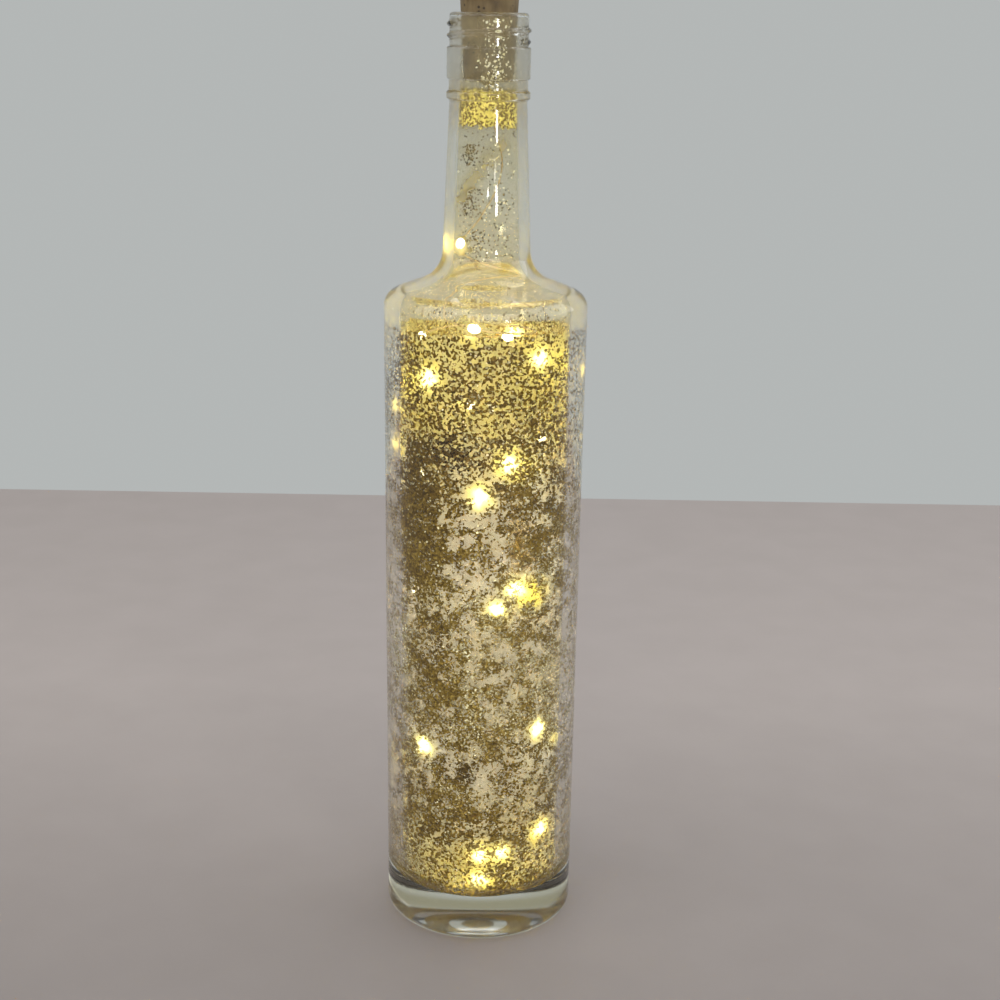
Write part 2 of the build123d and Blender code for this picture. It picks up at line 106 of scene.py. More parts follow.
def turned_piece(name, line, sides, close_end):
    """Mesh turned from a line of (radius, height) points, each ring extruded from the one before it."""
    bpy.ops.object.select_all(action="DESELECT")
    first = line[0]
    fill = "TRIFAN" if close_end else "NOTHING"
    place = (0, 0, first.y)
    bpy.ops.mesh.primitive_circle_add(vertices=sides, radius=first.x, fill_type=fill, location=place)
    piece = bpy.context.object
    piece.name = name
    bpy.ops.object.transform_apply(location=True, rotation=True, scale=True)
    bpy.ops.object.mode_set(mode="EDIT")
    if close_end:
        bpy.ops.mesh.region_to_loop()
    for last, here in zip(line, line[1:]):
        bpy.ops.mesh.extrude_region_move(TRANSFORM_OT_translate={"value": (0, 0, here.y - last.y)})
        ratio = here.x / last.x
        bpy.ops.transform.resize(value=(ratio, ratio, 1), center_override=(0, 0, here.y))
    if close_end:
        bpy.ops.mesh.edge_face_add()
        bpy.ops.mesh.poke()
        bpy.ops.mesh.select_all(action="SELECT")
        bpy.ops.mesh.normals_make_consistent(inside=False)
    bpy.ops.object.mode_set(mode="OBJECT")
    bpy.ops.object.shade_smooth()
    return piece


# The punt is a shallow dome, turned from a small fan of faces at the axis.
pole = 0.0012
punt_steps = 24
cap_radius = (rest_ring_inner**2 + punt_rise**2) / (2 * punt_rise)
punt = []
for number in range(punt_steps):
    radius = pole + (rest_ring_inner - pole) * number / punt_steps
    punt.append((radius, punt_rise - cap_radius + math.sqrt(cap_radius**2 - radius**2), 0))
outside = [
    (rest_ring_inner, 0, 0),
    (body_radius, 0, heel_round),
    (body_radius, shoulder_edge, shoulder_round),
    (neck_root_radius, neck_root, neck_root_sweep),
    (neck_top_radius, bead_low, 0.0004),
    (bead_radius, bead_low, 0.0009),
    (bead_radius, bead_high, 0.0009),
    (groove_radius, bead_high, 0.0003),
    (groove_radius, groove_high, 0.0003),
    (collar_radius, groove_high, 0.0005),
    (collar_radius, collar_high, 0.0007),
    (lip_radius, collar_high, 0.0002),
    (lip_radius, rim_height, 0.0012),
]
inside = [
    (mouth_radius, rim_height, 0.0014),
    (mouth_radius, mouth_bottom, 0.02),
    (inner_root_radius, inner_root, inner_root_sweep),
    (inner_radius, inner_edge, inner_edge_round),
    (inner_radius, floor_height, inner_heel_round),
    (pole, floor_height, 0),
]
most_step = 0.004
thread_step = 0.0003
on_line = 1e-6
bottle_line = []
plain_line = rounded_line(punt + outside + inside, most_step)
for here, ahead in zip(plain_line, plain_line[1:] + [plain_line[-1]]):
    bottle_line.append(here)
    on_lip = abs(here.x - lip_radius) < on_line and abs(ahead.x - lip_radius) < on_line
    steps = math.ceil((ahead - here).length / thread_step) if on_lip else 1
    bottle_line += [here.lerp(ahead, step / steps) for step in range(1, steps)]
bottle = turned_piece("clear_bottle", bottle_line, bottle_sides, True)

# The screw thread runs a turn and three quarters round the lip, and fades out at both ends.
# The mould's two halves leave a fine seam up each side, and the blown inside is a little wavy.
thread_pitch = 0.00365
thread_start_height = 0.3179
thread_depth = 0.0009
thread_half_width = 0.00115
thread_first, thread_last = -0.05, 1.62
thread_fade = 0.07
seam_angle = math.radians(219.6)
seam_height = 0.00006
wave_height = 0.00016
wave_fade = 0.02
wave_across, wave_along = 70, 22
near = 1e-5


def thread_rise(angle, height):
    """How far the thread stands out of the lip at an angle and a height."""
    most = 0
    for lap in range(-1, 3):
        turns = angle / math.tau + lap
        if thread_first < turns < thread_last:
            off = abs(height - thread_start_height - thread_pitch * turns) / thread_half_width
            fade = min(1, (turns - thread_first) / thread_fade, (thread_last - turns) / thread_fade)
            if off < 1:
                most = max(most, fade * math.cos(off * math.pi / 2) ** 1.4)
    return most * thread_depth


for vertex in bottle.data.vertices:
    place = vertex.co
    radius = place.xy.length
    angle = math.atan2(place.y, place.x) % math.tau
    grown = 0
    if abs(radius - lip_radius) < near and collar_high < place.z < rim_height:
        grown = thread_rise(angle, place.z)
    elif radius > neck_top_radius - near and place.z > 0 and abs(radius - inner_radius) > near:
        for seam in (seam_angle, seam_angle - math.pi):
            if abs(angle - seam) < math.pi / bottle_sides:
                grown = seam_height
    elif abs(radius - inner_radius) < near:
        wave = noise.noise(Vector((place.x * wave_across, place.y * wave_across, place.z * wave_along)))
        fade = min(1, (place.z - floor_height) / wave_fade, (inner_edge - place.z) / wave_fade)
        grown = wave_height * (0.5 + wave) * fade
    if grown:
        vertex.co.xy *= (radius + max(grown, 0)) / radius


def add_node(look, kind, inputs=None, **settings):
    """Adds a shader node to a look. An input is a value, a colour or an earlier node's socket."""
    made = look.node_tree.nodes.new("ShaderNode" + kind)
    for name, value in settings.items():
        setattr(made, name, value)
    for name, value in (inputs or {}).items():
        socket = made.inputs[name]
        if isinstance(value, bpy.types.NodeSocket):
            look.node_tree.links.new(value, socket)
        else:
            socket.default_value = (*value, 1) if socket.type == "RGBA" else value
    return made


def node_value(look, kind, inputs, **settings):
    """First result of a new shader node."""
    return add_node(look, kind, inputs, **settings).outputs[0]


def maths(look, operation, first, second=0.0, third=0.0, clamp=False):
    """Sum, product or other result of numbers."""
    inputs = {0: first, 1: second, 2: third}
    return node_value(look, "Math", inputs, operation=operation, use_clamp=clamp)


def add_share(look, value, share, change, clamp=False):
    """The value, with a share of a change added to it."""
    return maths(look, "MULTIPLY_ADD", share, change, value, clamp)


def map_range(look, value, from_low, from_high, low, high, course="LINEAR"):
    """Value stretched from one range to another and held at its ends."""
    inputs = {"Value": value, "From Min": from_low, "From Max": from_high, "To Min": low, "To Max": high}
    return node_value(look, "MapRange", inputs, interpolation_type=course)


def noise_value(look, place, scale, detail):
    """Value of a noise pattern."""
    return node_value(look, "TexNoise", {"Vector": place, "Scale": scale, "Detail": detail})


def noise_map(look, place, scale, low, high, detail=2.0):
    """Value of a noise pattern, stretched between two numbers."""
    return map_range(look, noise_value(look, place, scale, detail), 0.35, 0.65, low, high)


def height_of(look, place):
    """Height of a place."""
    return add_node(look, "SeparateXYZ", {"Vector": place}).outputs["Z"]


def colour_ramp(look, value, stops):
    """Colour that runs straight between (value, colour) stops."""
    ramp = add_node(look, "ValToRGB", {"Fac": value})
    points = ramp.color_ramp.elements
    points[0].position, points[0].color = stops[0][0], (*stops[0][1], 1)
    points[1].position, points[1].color = stops[-1][0], (*stops[-1][1], 1)
    for position, colour in stops[1:-1]:
        points.new(position).color = (*colour, 1)
    return ramp.outputs[0]


def height_ramp(look, height, stops):
    """Value that runs straight between (height, value) stops, for heights up to the rim."""
    share = map_range(look, height, 0.0, rim_height, 0.0, 1.0)
    return colour_ramp(look, share, [(place / rim_height, (value,) * 3) for place, value in stops])


def mix_colours(look, share, first, second):
    """Colour a share of the way from one colour to another."""
    inputs = {"Factor": share, 6: first, 7: second}
    return add_node(look, "Mix", inputs, data_type="RGBA").outputs[2]


def mix_shaders(look, share, first, second):
    """Shader a share of the way from one shader to another."""
    return node_value(look, "MixShader", {0: share, 1: first, 2: second})


def common_shader(look, colour, roughness, others=None):
    """Shader with a colour, a roughness and any other inputs."""
    inputs = {"Base Color": colour, "Roughness": roughness, **(others or {})}
    return node_value(look, "BsdfPrincipled", inputs)


def bump_normal(look, height, strength, distance):
    """Normal that follows a height."""
    return node_value(look, "Bump", {"Strength": strength, "Distance": distance, "Height": height})


def new_look(name):
    """Empty look for a surface, and the place in the object as a socket."""
    look = bpy.data.materials.new(name)
    look.use_nodes = True
    look.node_tree.nodes.clear()
    return look, add_node(look, "TexCoord").outputs["Object"]


def finish(look, shader):
    """Links the last shader to the surface."""
    add_node(look, "OutputMaterial", {"Surface": shader})


def let_light_through(look, shader, tint):
    """The same shader, but with shadows that only tint the light, as clear glass gives."""
    shadow = add_node(look, "LightPath").outputs["Is Shadow Ray"]
    passing = node_value(look, "BsdfTransparent", {"Color": tint})
    return mix_shaders(look, shadow, shader, passing)


# Clear glass, olive where the eye looks along the thick floor, and faintly frosted under the foot.
glass, glass_place = new_look("bottle_glass_clear")
glass_height = height_of(glass, glass_place)
glass_thick = height_ramp(glass, glass_height, [(0.006, 0.0), (0.0095, 1.0), (0.017, 1.0), (0.023, 0.0)])
glass_frost = height_ramp(glass, glass_height, [(0.0032, 0.10), (0.0045, 0.0)])
glass_smudge = noise_map(glass, glass_place, 90, 0.0, 0.035, detail=4)
glass_bump = bump_normal(glass, noise_value(glass, glass_place, 55, 1), 0.12, 0.0006)
glass_shader = common_shader(
    glass,
    mix_colours(glass, glass_thick, (0.962, 0.985, 0.955), (0.62, 0.58, 0.40)),
    maths(glass, "ADD", glass_smudge, glass_frost),
    {"IOR": 1.5, "Transmission Weight": 1.0, "Normal": glass_bump},
)
finish(glass, let_light_through(glass, glass_shader, (0.94, 0.96, 0.92)))
bottle.data.materials.append(glass)

# The varnish under the glitter is a thin yellow haze that clings to the glass, and the flakes that
# touch it show through the glass edge-on at the bottle's sides.
# Each patch: its middle, its reach, and what it adds to the cover, the darkness and the milkiness. The
# darkness is partly the flakes' own tone and partly painted shade, most on the left front.
coat_patches = [
    ((-0.01, -0.0276, 0.187), (0.02, 0.014, 0.011), 0.12, 0.80, -0.05),
    ((-0.0203, -0.0213, 0.16), (0.012, 0.016, 0.04), 0.34, 0.30, 0.0),
    ((-0.001, -0.0294, 0.157), (0.014, 0.012, 0.028), -0.04, 0.20, 0.0),
    ((0.0135, -0.026, 0.176), (0.007, 0.01, 0.014), 0.26, -0.30, 0.20),
    ((0.0122, -0.0268, 0.152), (0.006, 0.01, 0.024), -0.12, 0.0, -0.45),
    ((-0.0154, -0.025, 0.107), (0.014, 0.014, 0.032), 0.17, 0.55, 0.0),
    ((0.005, -0.029, 0.098), (0.012, 0.01, 0.022), -0.06, 0.10, 0.0),
    ((-0.005, -0.029, 0.068), (0.014, 0.012, 0.009), 0.04, 0.90, 0.10),
    ((0.0, 0.0, 0.222), (0.06, 0.06, 0.026), -0.03, 0.10, 0.25),
    ((0.0, 0.0, 0.105), (0.08, 0.08, 0.085), 0.03, -0.70, 0.0),
    ((0.0, 0.0, 0.02), (0.06, 0.06, 0.04), 0.08, -0.60, 0.20),
    ((0.01, 0.027, 0.13), (0.02, 0.014, 0.05), 0.20, 0.40, 0.0),
    ((-0.018, 0.022, 0.195), (0.014, 0.014, 0.024), -0.14, 0.0, 0.0),
]
# Spots of the wall where a lamp's glow is painted on, as (across, height), under the wall's radius there.
painted_glow_spots = {
    0.0113: [(-0.0078, 0.2525)],
    inner_radius: [
        (-0.0036, 0.2295),
        (0.0176, 0.2183),
        (-0.0175, 0.2108),
        (0.0084, 0.1828),
        (-0.0008, 0.171),
        (0.011, 0.1378),
        (0.0054, 0.1306),
        (0.0198, 0.0827),
        (-0.019, 0.0756),
        (0.0213, 0.0415),
        (0.0006, 0.035),
        (0.0076, 0.0354),
        (0.0006, 0.0245),
        (-0.0273, 0.199),
        (-0.0273, 0.186),
        (0.0293, 0.2105),
    ],
}
coat_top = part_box("glitter_coat")[1].z


def vectors(look, operation, first, second=(0, 0, 0)):
    """Sum, product or other result of vectors. A length or a distance is a number."""
    made = add_node(look, "VectorMath", {0: first, 1: second}, operation=operation)
    return made.outputs["Value" if operation in ("LENGTH", "DISTANCE") else "Vector"]


def fading(look, distance, full, gone):
    """Value that is 1 up to a distance and falls smoothly to 0 at a larger one."""
    return map_range(look, distance, full, gone, 1.0, 0.0, "SMOOTHSTEP")


def patch(look, place, centre, reach):
    """Value that is 1 at a point of the wall and falls to 0 at the given reach each way."""
    scaled = vectors(look, "DIVIDE", vectors(look, "SUBTRACT", place, centre), reach)
    return fading(look, vectors(look, "LENGTH", scaled), 0.25, 1.0)


def pushed(look, vector, colour, reach):
    """The vector, moved by up to half a reach each way as a random colour says."""
    centred = vectors(look, "SUBTRACT", colour, (0.5, 0.5, 0.5))
    return vectors(look, "ADD", vector, vectors(look, "MULTIPLY", centred, (reach,) * 3))


def ragged_place(look, place, scale, reach):
    """The place, pushed about by noise so that what follows it gets an uneven edge."""
    push = add_node(look, "TexNoise", {"Vector": place, "Scale": scale, "Detail": 2.0})
    return pushed(look, place, push.outputs["Color"], reach)


def nearest_of(look, place, points):
    """Distance to the nearest of some points."""
    distances = [vectors(look, "DISTANCE", place, point) for point in points]
    nearest = distances[0]
    for distance in distances[1:]:
        nearest = maths(look, "MINIMUM", nearest, distance)
    return nearest


# Painted glow spots also go on the wall nearest to five lamps that lie close to it at the back.
lamp_middles = [sum(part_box(f"led_bead_{number:02d}"), Vector()) / 2 for number in range(1, 21)]
painted_glow_middles = [
    Vector((x, -math.sqrt(wall**2 - x**2), z)) for wall, spots in painted_glow_spots.items() for x, z in spots
]
for number in (4, 7, 8, 11, 14):
    behind = lamp_middles[number - 1]
    painted_glow_middles.append(Vector((*(behind.xy.normalized() * inner_radius), behind.z)))


def painted_glow_values(look, place, core_reach):
    """Sockets for the painted halo and the painted bright core of the wall's glow spots."""
    distance = nearest_of(look, ragged_place(look, place, 330, 0.0045), painted_glow_middles)
    painted_core = fading(look, distance, 0.0006, core_reach)
    return fading(look, distance, 0.001, 0.008), maths(look, "POWER", painted_core, 2.0)


def add_painted_glow(look, shader, strength):
    """The shader, with a painted warm yellow glow added, though the surface is no lamp."""
    light = node_value(look, "Emission", {"Color": (1.0, 0.86, 0.34), "Strength": strength})
    return node_value(look, "AddShader", {0: shader, 1: light})


def coat_values(look, place, cover, milk):
    """Sockets for how much flakes cover the wall, how dark they are (own tone with painted shade) and how
    milky the varnish is.
    """
    values = [
        noise_map(look, place, 38, cover - 0.09, cover + 0.09, detail=1),
        noise_map(look, place, 45, 0.0, 0.4),
        noise_map(look, place, 70, milk - 0.12, milk + 0.12),
    ]
    clump = map_range(look, noise_value(look, place, 190, 1.5), 0.38, 0.62, -1.0, 1.0)
    clump_stops = [(0.03, 0.10), (0.06, 0.22), (0.165, 0.22), (0.2, 0.05)]
    clump_share = height_ramp(look, height_of(look, place), clump_stops)
    values[0] = add_share(look, values[0], clump, clump_share)
    ragged = ragged_place(look, place, 120, 0.012)
    for centre, reach, *changes in coat_patches:
        share = patch(look, ragged, centre, reach)
        for number, change in enumerate(changes):
            if change:
                values[number] = add_share(look, values[number], share, change)
    return values


def worm_pattern(look, place, cover, sharpness):
    """Value that is 1 where flakes have run together into worm-like clusters and 0 between them."""
    shared = {"Vector": place, "Detail": 0.5, "Roughness": 0.4}
    fine, coarse = [
        node_value(look, "TexNoise", {**shared, "Scale": scale, "Distortion": twist})
        for scale, twist in ((980, 0.6), (560, 2.2))
    ]
    run_stops = [(0.036, 0.15), (0.06, 0.75), (0.15, 0.75), (0.186, 0.0)]
    run = height_ramp(look, height_of(look, place), run_stops)
    worm = node_value(look, "Mix", {0: run, 2: fine, 3: coarse})
    edge = maths(look, "ADD", maths(look, "MULTIPLY_ADD", worm, 2.2, -1.1), cover)
    edge = maths(look, "MULTIPLY_ADD", edge, sharpness, 0.5 - 0.5 * sharpness)
    return maths(look, "ADD", edge, clamp=True)


def flake_shader(look, place, dark):
    """Gold flakes about half a millimetre across, each with its own tone and its own slant."""
    grain = add_node(look, "TexVoronoi", {"Vector": place, "Scale": 1700}).outputs["Color"]
    tones = add_node(look, "SeparateColor", {"Color": grain}).outputs
    tone = maths(look, "MULTIPLY_ADD", tones[0], 0.55, 0.28)
    # The dark value darkens the flakes, partly as painted shade.
    tone = maths(look, "SUBTRACT", tone, maths(look, "MULTIPLY", dark, 0.40), clamp=True)
    # A few cells are lifted to pale gold as painted glints.
    tone = maths(look, "ADD", tone, maths(look, "GREATER_THAN", tones[1], 0.965), clamp=True)
    golds_with_painted_glint = [
        (0.0, (0.042, 0.021, 0.002)),
        (0.45, (0.17, 0.096, 0.006)),
        (0.80, (0.38, 0.25, 0.03)),
        (0.97, (1.0, 0.94, 0.66)),
    ]
    facing = add_node(look, "NewGeometry").outputs["Normal"]
    facet = vectors(look, "NORMALIZE", pushed(look, facing, grain, 0.8))
    colour = colour_ramp(look, tone, golds_with_painted_glint)
    return common_shader(look, colour, 0.38, {"Metallic": 0.45, "Normal": facet})


# Each patch of haze: its middle, its reach and what it adds to the haze. Five of them in a row make
# the smear in the neck.
haze_patches = [
    ((0.0, -0.01, 0.24), (0.024, 0.026, 0.01), 0.12),
    ((0.0045, -0.0092, 0.286), (0.004, 0.006, 0.0046), 0.26),
    ((0.001, -0.0103, 0.2815), (0.004, 0.006, 0.0046), 0.26),
    ((-0.002, -0.0103, 0.2775), (0.004, 0.006, 0.0046), 0.26),
    ((-0.005, -0.0094, 0.2735), (0.004, 0.006, 0.0046), 0.26),
    ((-0.0076, -0.0077, 0.2695), (0.004, 0.006, 0.0046), 0.25),
    ((-0.005, -0.008, 0.3115), (0.0045, 0.006, 0.008), -0.34),
    ((-0.0078, -0.0082, 0.2525), (0.0055, 0.006, 0.006), 0.38),
    ((-0.006, -0.009, 0.2835), (0.0035, 0.005, 0.004), 0.22),
    ((0.0107, -0.0274, 0.143), (0.007, 0.01, 0.026), -0.10),
    ((0.0, 0.0, 0.0155), (0.06, 0.06, 0.012), 0.45),
]
haze_stops = [(0.02, 0.24), (0.15, 0.22), (0.226, 0.20), (0.232, 0.22), (0.246, 0.17), (0.256, 0.16)]
haze_stops += [(0.287, 0.20), (0.292, 0.32), (0.303, 0.46), (0.308, 0.50), (0.325, 0.42)]
hazy, hazy_place = new_look("bottle_glass_varnished")
hazy_height = height_of(hazy, hazy_place)
clear_smudge = noise_map(hazy, hazy_place, 90, 0.0, 0.05, detail=4)
clear_glass = {"IOR": 1.5, "Transmission Weight": 1.0}
clear_part = common_shader(hazy, (0.975, 0.98, 0.93), clear_smudge, clear_glass)
haze_share = height_ramp(hazy, hazy_height, haze_stops)
haze_share = maths(hazy, "ADD", haze_share, noise_map(hazy, hazy_place, 60, -0.05, 0.07, detail=3))
haze_ragged = ragged_place(hazy, hazy_place, 260, 0.006)
for centre, reach, change in haze_patches:
    haze_share = add_share(hazy, haze_share, patch(hazy, haze_ragged, centre, reach), change)
# Round the painted glow spots the haze thickens a little.
painted_haze_halo, painted_haze_core = painted_glow_values(hazy, hazy_place, 0.0048)
haze_share = add_share(hazy, haze_share, painted_haze_halo, 0.04)
haze_share = maths(hazy, "MAXIMUM", haze_share, 0.02)
dry_share = height_ramp(hazy, hazy_height, [(0.295, 0.0), (0.309, 1.0)])
low_share = height_ramp(hazy, hazy_height, [(0.04, 0.0), (0.062, 1.0), (0.15, 1.0), (0.19, 0.0)])
wet_tint = mix_colours(hazy, low_share, (0.84, 0.68, 0.13), (0.78, 0.70, 0.46))
haze_tint = mix_colours(hazy, dry_share, wet_tint, (0.66, 0.60, 0.42))
haze_dust = mix_colours(hazy, dry_share, (0.28, 0.195, 0.055), (0.46, 0.38, 0.22))
haze_front = node_value(hazy, "BsdfTranslucent", {"Color": haze_tint})
haze_back = node_value(hazy, "BsdfDiffuse", {"Color": haze_dust})
haze = mix_shaders(hazy, 0.45, haze_front, haze_back)
hazy_glass = mix_shaders(hazy, haze_share, clear_part, haze)

# The flakes that touch the glass, on the wall up to the coat's top.
contact_cover, contact_tone_and_shade, _ = coat_values(hazy, hazy_place, 0.42, 0.0)
contact_limit = map_range(hazy, hazy_height, coat_top - 0.001, coat_top + 0.001, 0.0, -1.0)
contact_cover = maths(hazy, "ADD", contact_cover, contact_limit)
# Fewer flakes touch the glass round the painted glow spots.
contact_cover = add_share(hazy, contact_cover, painted_haze_halo, -0.24)
contact = maths(hazy, "MULTIPLY", worm_pattern(hazy, hazy_place, contact_cover, 14.0), 0.75)
coated_glass = mix_shaders(hazy, contact, hazy_glass, flake_shader(hazy, hazy_place, contact_tone_and_shade))
# The glass gives off a painted warm glow at the glow spots.
painted_haze_glow = add_share(hazy, maths(hazy, "MULTIPLY", painted_haze_core, 0.35), painted_haze_halo, 0.05)
painted_glow_glass = add_painted_glow(hazy, coated_glass, painted_haze_glow)
finish(hazy, let_light_through(hazy, painted_glow_glass, (0.88, 0.87, 0.76)))
bottle.data.materials.append(hazy)

# The varnish wets every face that looks inwards, from the floor to just under the rim.
varnish_low, varnish_high = floor_height - 0.0001, rim_height - 0.0016
varnish_reach = inner_radius + 2 * wave_height
for face in bottle.data.polygons:
    middle = face.center
    inside_wall = middle.xy.length < varnish_reach and varnish_low < middle.z < varnish_high
    if inside_wall and face.normal.dot(Vector((middle.x, middle.y, 0))) <= 1e-9:
        face.material_index = 1
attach(bottle, "bottle")
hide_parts("glass_bottle")

# The glitter coat
# Gold glitter dust set in clear varnish on the inside of the bottle. It covers the wall up to the
# shoulder and the floor, and it has run into worm-like grains with small milky gaps between them.
coat_gap = 0.00005
band_gap = 0.00012
coat_wall = 0.0002
coat_sides, band_sides = 128, 96
band_step = 0.002
coat_radius = inner_radius - coat_gap
coat_corners = [
    (pole, floor_height + coat_gap, 0),
    (coat_radius, floor_height + coat_gap, inner_heel_round - coat_gap),
    (coat_radius, coat_top, 0),
]


def thin_coat(name, corners, sides, step, from_centre):
    """Thin skin turned from a line, with its wall grown inwards and its middle closed if it has one."""
    skin = turned_piece(name, rounded_line(corners, step), sides, False)
    bpy.ops.object.mode_set(mode="EDIT")
    if from_centre:
        pole_reach = corners[0][0] * 1.01
        bpy.ops.mesh.select_all(action="DESELECT")
        bpy.ops.object.mode_set(mode="OBJECT")
        for edge in skin.data.edges:
            ends = [skin.data.vertices[end].co for end in edge.vertices]
            edge.select = all(end.xy.length < pole_reach for end in ends)
        bpy.ops.object.mode_set(mode="EDIT")
        bpy.ops.mesh.select_mode(type="EDGE")
        bpy.ops.mesh.edge_face_add()
        bpy.ops.mesh.poke()
    bpy.ops.mesh.select_all(action="SELECT")
    bpy.ops.mesh.normals_make_consistent(inside=False)
    bpy.ops.object.mode_set(mode="OBJECT")
    normal_out = sum(face.normal.xy.dot(face.center.xy) for face in skin.data.polygons)
    solid = skin.modifiers.new("wall", "SOLIDIFY")
    solid.thickness = coat_wall
    solid.material_offset = 1
    solid.material_offset_rim = 1
    solid.offset = -1 if normal_out > 0 else 1
    bpy.ops.object.modifier_apply(modifier="wall")
    return skin


coat = thin_coat("glitter_coat_film", coat_corners, coat_sides, most_step, True)
band_low, band_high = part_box("neck_glitter_band")
neck_slope = (inner_root_radius - mouth_radius) / (mouth_bottom - inner_root)
band_corners = []
for height in (band_low.z, band_high.z):
    band_corners.append((mouth_radius + (mouth_bottom - height) * neck_slope - band_gap, height, 0))
band = thin_coat("neck_glitter_film", band_corners, band_sides, band_step, False)


def glitter_material(name, cover, milk, gap_share, gap_tint, ends, fineness=1.0, painted_glint_light=0.0):
    """Film of gold flakes with worm-like gaps, where milky varnish glows with the lamps behind it, plus a
    painted glow and a painted yellower tint round the lamps.
    """
    film, place = new_look(name)
    film_cover, film_tone_and_shade, film_milk = coat_values(film, place, cover, milk)
    # Round the lamps and the painted glow spots the flakes thin out, the varnish turns milkier and a
    # painted yellower tint is laid on.
    by_lamp = fading(film, nearest_of(film, place, lamp_middles), 0.005, 0.011)
    painted_halo, painted_core = painted_glow_values(film, place, 0.005)
    painted_lamp_glow = maths(film, "MAXIMUM", by_lamp, painted_halo)
    film_cover = add_share(film, film_cover, painted_lamp_glow, -0.07)
    film_cover = add_share(film, film_cover, painted_core, -0.20)
    film_milk = add_share(film, film_milk, painted_lamp_glow, 0.40, clamp=True)
    finer = vectors(film, "MULTIPLY", place, (fineness,) * 3)
    solid = worm_pattern(film, finer, film_cover, 16.0)
    yellow_stops = [(0.03, 0.85), (0.058, 0.15), (0.165, 0.10), (0.196, 0.95)]
    yellow_with_painted_glow = height_ramp(film, height_of(film, place), yellow_stops)
    yellow_with_painted_glow = maths(film, "ADD", yellow_with_painted_glow, noise_map(film, place, 55, -0.15, 0.15))
    yellow_with_painted_glow = add_share(film, yellow_with_painted_glow, painted_lamp_glow, 0.8, clamp=True)
    tint = mix_colours(film, yellow_with_painted_glow, (0.84, 0.86, 1.0), (1.0, 0.93, 0.27))
    glow = node_value(film, "BsdfTranslucent", {"Color": tint})
    pale = node_value(film, "BsdfDiffuse", {"Color": gap_tint})
    pale_share = maths(film, "MULTIPLY_ADD", yellow_with_painted_glow, -0.24, gap_share + 0.24)
    bare = node_value(film, "BsdfTransparent", {"Color": (0.99, 0.975, 0.93)})
    gap = mix_shaders(film, film_milk, bare, mix_shaders(film, pale_share, glow, pale))
    shining = maths(film, "MULTIPLY_ADD", painted_lamp_glow, 0.16, 0.03)
    flakes = mix_shaders(film, shining, flake_shader(film, finer, film_tone_and_shade), glow)
    # Painted glow: random glints in the band, and a halo and a bright core at the glow spots, dimmer where
    # flakes are solid.
    strength = noise_map(film, place, 650, 0.0, 2 * painted_glint_light, detail=1) if painted_glint_light else 0.0
    strength = add_share(film, strength, painted_halo, 0.35)
    strength = add_share(film, strength, painted_core, 3.6)
    strength = maths(film, "MULTIPLY", strength, maths(film, "MULTIPLY_ADD", solid, -0.80, 1.0))
    painted_glow_film = add_painted_glow(film, mix_shaders(film, solid, gap, flakes), strength)
    edge_height = height_of(film, ragged_place(film, place, 520, 0.007))
    kept = maths(film, "LESS_THAN", edge_height, ends[1] - 0.001)
    if ends[0]:
        kept = maths(film, "MULTIPLY", kept, maths(film, "GREATER_THAN", edge_height, ends[0] + 0.0008))
    finish(film, mix_shaders(film, kept, bare, painted_glow_film))
    return film


# The film's own surface, on the air side, is clear varnish with a soft shine.
varnish, varnish_place = new_look("clear_varnish")
varnish_rough = noise_map(varnish, varnish_place, 200, 0.15, 0.35)
varnish_shine = node_value(varnish, "BsdfGlossy", {"Roughness": varnish_rough})
varnish_sheet = node_value(varnish, "BsdfTransparent", {"Color": (0.99, 0.98, 0.95)})
finish(varnish, mix_shaders(varnish, 0.04, varnish_sheet, varnish_shine))
coat_ends, band_ends = (None, coat_top), (band_low.z, band_high.z)
coat_gold = glitter_material("gold_glitter_film", 0.50, 0.50, 0.25, (0.86, 0.81, 0.74), coat_ends)
band_gold = glitter_material(
    "gold_glitter_dense", 0.57, 0.85, 0.80, (1.0, 0.90, 0.26), band_ends, fineness=1.45, painted_glint_light=0.20
)
for skin, gold in ((coat, coat_gold), (band, band_gold)):
    skin.data.materials.append(gold)
    skin.data.materials.append(varnish)
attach(coat, "bottle")
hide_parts("glitter_coat")
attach(band, "bottle")
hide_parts("neck_glitter_band")

# Loose glitter
# Single flakes of the same glitter that the varnish caught on the bare glass of the neck, under
# the shoulder and beside the cork. They are punched foil, flat and a few tenths of a millimetre wide.
flake_thickness = 0.00003
flake_depth = 0.00008
flake_lean = 9
flake_stretch = 1.25
flake_random = random.Random(7)
# Each group: how many, from and to which height, the middle direction and the spread in degrees.
# A spread of 180 goes evenly all round.
gold_groups = [
    (380, 0.245, 0.29, 0, 180),
    (110, 0.279, 0.286, 240, 18),
    (150, 0.262, 0.272, 240, 22),
    (120, 0.248, 0.258, 250, 30),
    (60, 0.25, 0.27, 300, 30),
    (260, 0.2266, 0.233, 0, 180),
    (90, 0.2275, 0.2325, 305, 24),
    (140, 0.2331, 0.242, 0, 180),
    (120, 0.304, 0.325, 0, 180),
]
